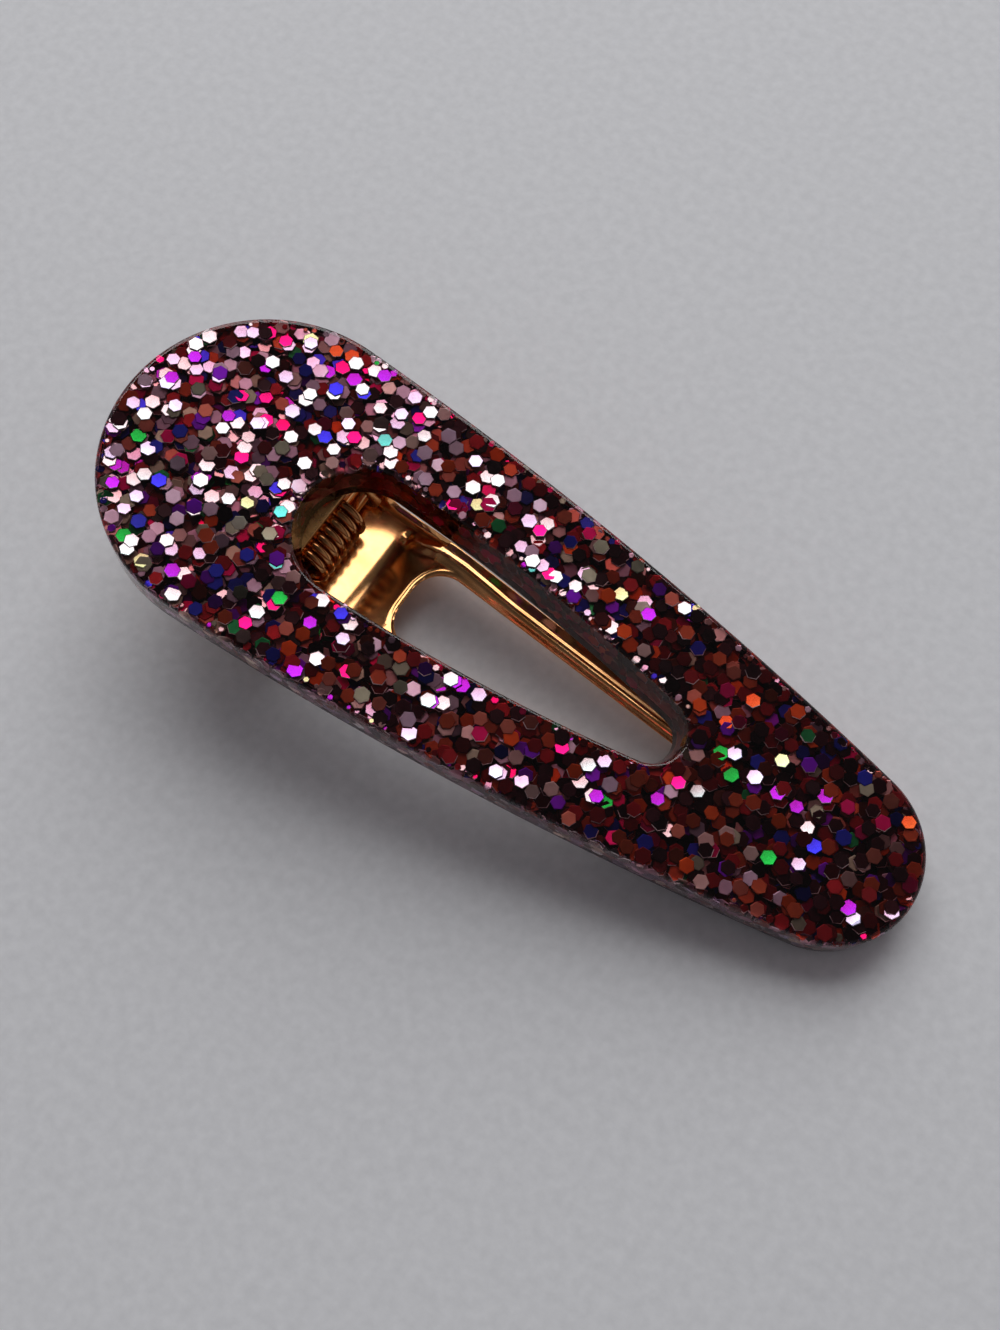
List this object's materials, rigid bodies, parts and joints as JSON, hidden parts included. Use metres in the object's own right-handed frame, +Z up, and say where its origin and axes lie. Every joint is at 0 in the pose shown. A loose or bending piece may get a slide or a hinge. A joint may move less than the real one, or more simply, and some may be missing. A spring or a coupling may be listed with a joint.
{
  "type": "hair clip",
  "caption": "Drop-shaped glitter resin hair clip: a flat plate with a drop-shaped opening on a sprung metal clip whose hollow lower jaw closes on the hair.",
  "frame": {"origin": "centre of the footprint, on the surface that the clip lies on", "axes": "+X along the clip from its wide end to its narrow end, +Y across it, +Z up; the clip lies on the end of its thumb tail and on its narrow end, so its plate leans down towards +X"},
  "size_m": [0.0838, 0.0308, 0.0155],
  "materials": {
    "resin": "clear maroon casting resin, polished, full of loose glitter",
    "glitter": "metallised holographic film flakes",
    "gold_plate": "bright pale gold plating on stamped steel",
    "spring_wire": "plated spring wire, darker in its grooves"
  },
  "bodies": {
    "holder": {"resin_plate": "resin", "upper_lever": "gold_plate", "hinge_pin": "gold_plate", "spring": "spring_wire"},
    "jaw": {"lower_jaw": "gold_plate", "spring_lower_leg": "spring_wire"}
  },
  "joints": [
    {"name": "jaw_hinge", "type": "hinge", "parent": "holder", "child": "jaw", "pos_m": [-0.02075, 0, 0.00519], "axis": [0, 1, 0], "range_deg": [0, 28], "stiffness_Nm_per_rad": 0.1, "springref_deg": -20.05}
  ]
}
